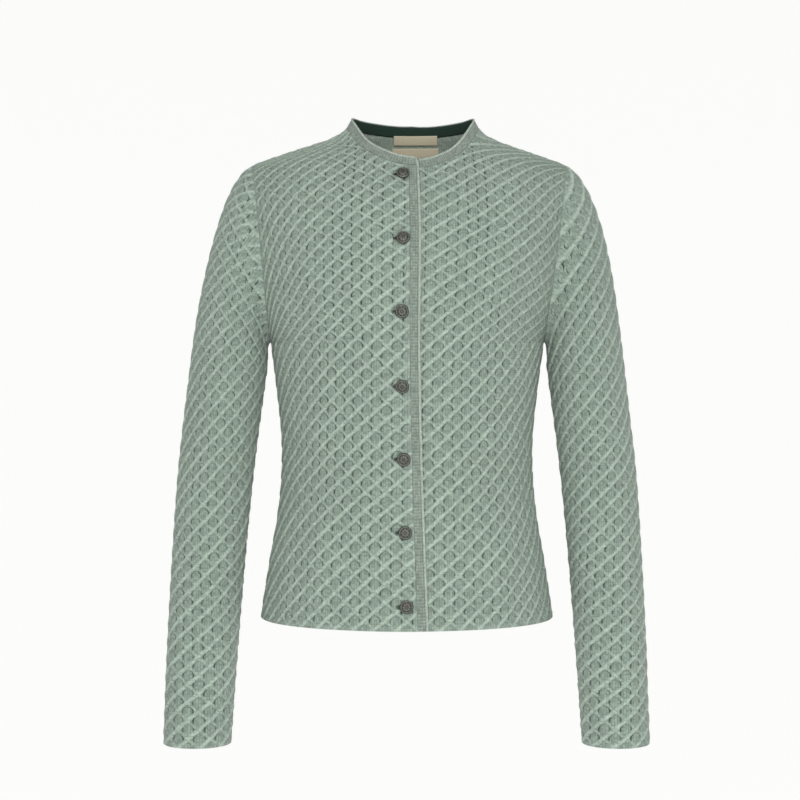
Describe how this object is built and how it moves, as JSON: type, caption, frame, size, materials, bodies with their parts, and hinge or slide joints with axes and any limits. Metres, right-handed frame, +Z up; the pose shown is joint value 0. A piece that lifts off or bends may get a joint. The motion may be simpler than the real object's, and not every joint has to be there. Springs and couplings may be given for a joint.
{
  "type": "cardigan",
  "caption": "Button-front knitted cardigan with long set-in sleeves and a narrow band at the round neck, filled out as worn with no wearer.",
  "frame": {"origin": "midway between the shoulders, at the height of the middle of the shoulder seams, where the wearer's shoulders hold the garment", "axes": "+Z up, +X to the wearer's left, the front faces -Y"},
  "size_m": [0.5311, 0.2324, 0.6859],
  "materials": {
    "lattice_knit": "matt sage green wool knitting with a raised lattice",
    "band_knit": "matt sage green fine ribbing with a cord-like edge",
    "tape": "dark green woven tape",
    "label": "plain cream woven label",
    "button_metal": "darkened pewter, worn brighter on the raised parts"
  },
  "bodies": {
    "root": {"front_right": "lattice_knit", "front_left": "lattice_knit", "back": "lattice_knit", "sleeve_right": "lattice_knit", "sleeve_left": "lattice_knit", "front_band_right": "band_knit", "front_band_left": "band_knit", "neckband": "band_knit", "neck_tape": "tape", "label_upper": "label", "label_lower": "label", "button_1": "button_metal", "button_2": "button_metal", "button_3": "button_metal", "button_4": "button_metal", "button_5": "button_metal", "button_6": "button_metal", "button_7": "button_metal"}
  },
  "joints": []
}
